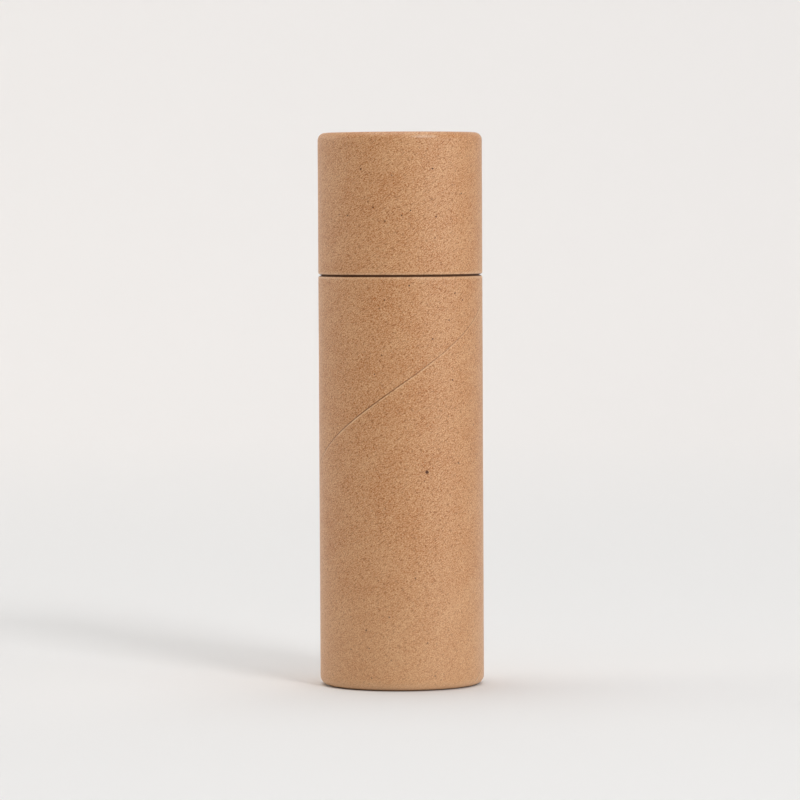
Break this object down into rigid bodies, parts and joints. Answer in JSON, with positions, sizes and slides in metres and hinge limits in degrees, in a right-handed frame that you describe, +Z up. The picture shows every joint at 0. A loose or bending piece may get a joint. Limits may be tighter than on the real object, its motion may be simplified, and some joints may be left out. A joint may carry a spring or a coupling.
{
  "type": "push-up paper tube",
  "caption": "Round spiral-wound paper tube with a push-on cap, a glued inner neck and a card disc that slides up the bore to push out a stick of balm.",
  "frame": {"origin": "on the tube's axis, at the foot that it stands on", "axes": "+Z up the tube from the foot to the cap, -Y towards the viewer, +X to the viewer's right"},
  "size_m": [0.0208, 0.0208, 0.0703],
  "materials": {
    "kraft_wrap": "matt brown kraft paper with fine fibres and dark specks, wound on at an angle with one open butt seam",
    "liner_board": "matt lighter kraft board, wound, with a smoother inside face",
    "kraft_board": "matt pressed brown board"
  },
  "bodies": {
    "tube": {"body_tube": "kraft_wrap", "inner_tube": "liner_board"},
    "cap": {"cap_tube": "kraft_wrap", "cap_disc": "kraft_board"},
    "plunger": {"push_disc": "kraft_board"}
  },
  "joints": [
    {"name": "cap_lift", "type": "slide", "parent": "tube", "child": "cap", "axis": [0, 0, 1], "range_m": [0, 0.03]},
    {"name": "disc_push", "type": "slide", "parent": "tube", "child": "plunger", "axis": [0, 0, 1], "range_m": [0, 0.0608]}
  ]
}
